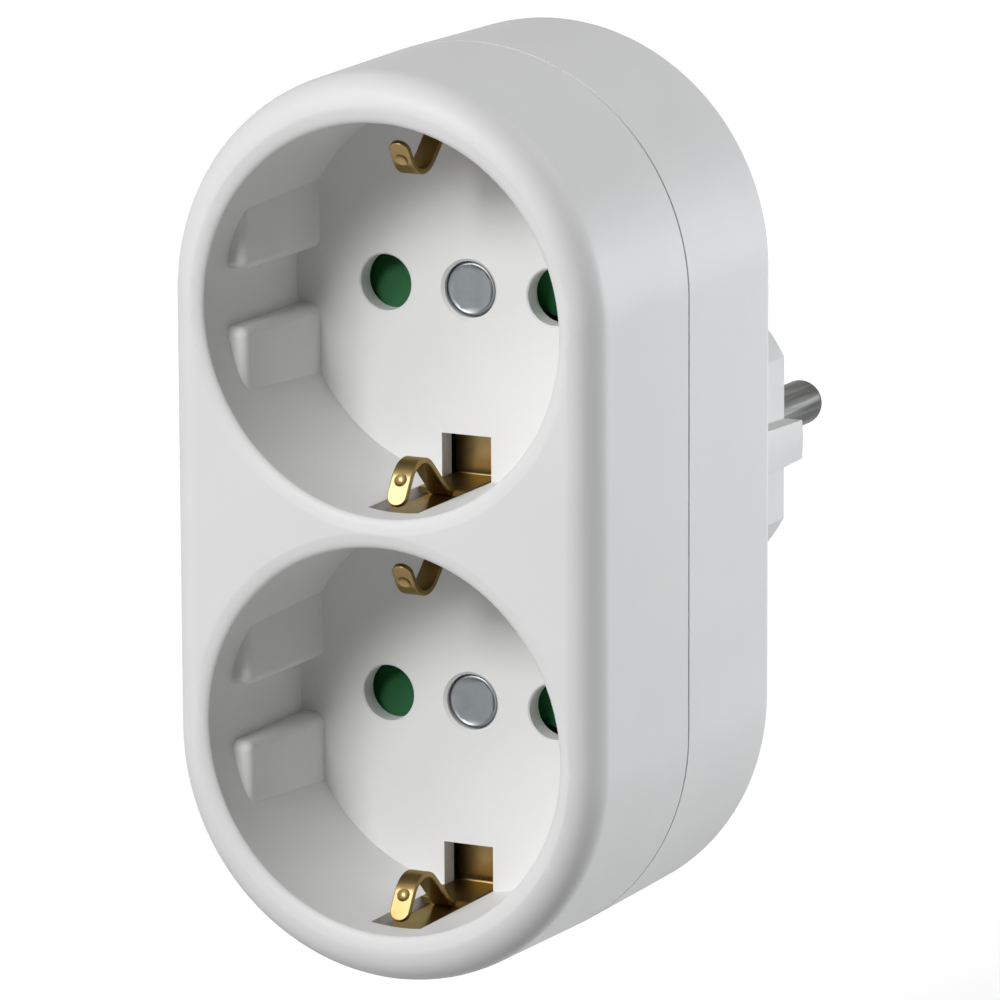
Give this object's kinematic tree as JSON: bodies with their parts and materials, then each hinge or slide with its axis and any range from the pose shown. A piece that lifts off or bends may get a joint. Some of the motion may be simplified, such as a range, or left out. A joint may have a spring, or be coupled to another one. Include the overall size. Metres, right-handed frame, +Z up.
{
  "type": "multi socket adapter",
  "caption": "White plug-in adapter with stacked round socket wells, sprung brass earth clips, green rotary shutters and a round-pin plug nose at its back.",
  "frame": {"origin": "middle of the plug nose's end face, between the two pins where they come out", "axes": "+Y out of the back along the pins, +Z up along the row of sockets, +X to the right seen from the front"},
  "size_m": [0.0484, 0.0795, 0.093],
  "materials": {
    "white_plastic": "satin moulded plastic",
    "green_plastic": "moulded plastic",
    "brass": "bright stamped strip",
    "nickel": "turned, nickel plated",
    "rivet_steel": "dull plated steel",
    "spring_steel": "drawn wire"
  },
  "bodies": {
    "housing": {"front_cover": "white_plastic", "rear_cover": "white_plastic", "closing_rivet_upper": "rivet_steel", "closing_rivet_lower": "rivet_steel", "earth_bracket_upper": "brass", "earth_bracket_lower": "brass", "plug_pin_left": "nickel", "plug_pin_right": "nickel", "left_bar": "brass", "right_bar": "brass", "contact_clip_upper_left": "brass", "contact_clip_upper_right": "brass", "contact_clip_lower_left": "brass", "contact_clip_lower_right": "brass", "earth_link": "brass", "plug_earth_contact": "nickel", "shutter_spring_upper": "spring_steel", "shutter_spring_lower": "spring_steel", "clip_rivets": "brass", "earth_rivets": "brass"},
    "upper_shutter": {"shutter_upper": "green_plastic"},
    "lower_shutter": {"shutter_lower": "green_plastic"}
  },
  "joints": [
    {"name": "shutter_upper_turn", "type": "hinge", "parent": "housing", "child": "upper_shutter", "pos_m": [0, -0.0385, 0.02133], "axis": [0, -1, 0], "range_deg": [0, 36], "stiffness_Nm_per_rad": 0.004, "deforming": ["shutter_spring_upper"]},
    {"name": "shutter_lower_turn", "type": "hinge", "parent": "housing", "child": "lower_shutter", "pos_m": [0, -0.0385, -0.02133], "axis": [0, -1, 0], "range_deg": [0, 36], "stiffness_Nm_per_rad": 0.004, "deforming": ["shutter_spring_lower"]}
  ]
}
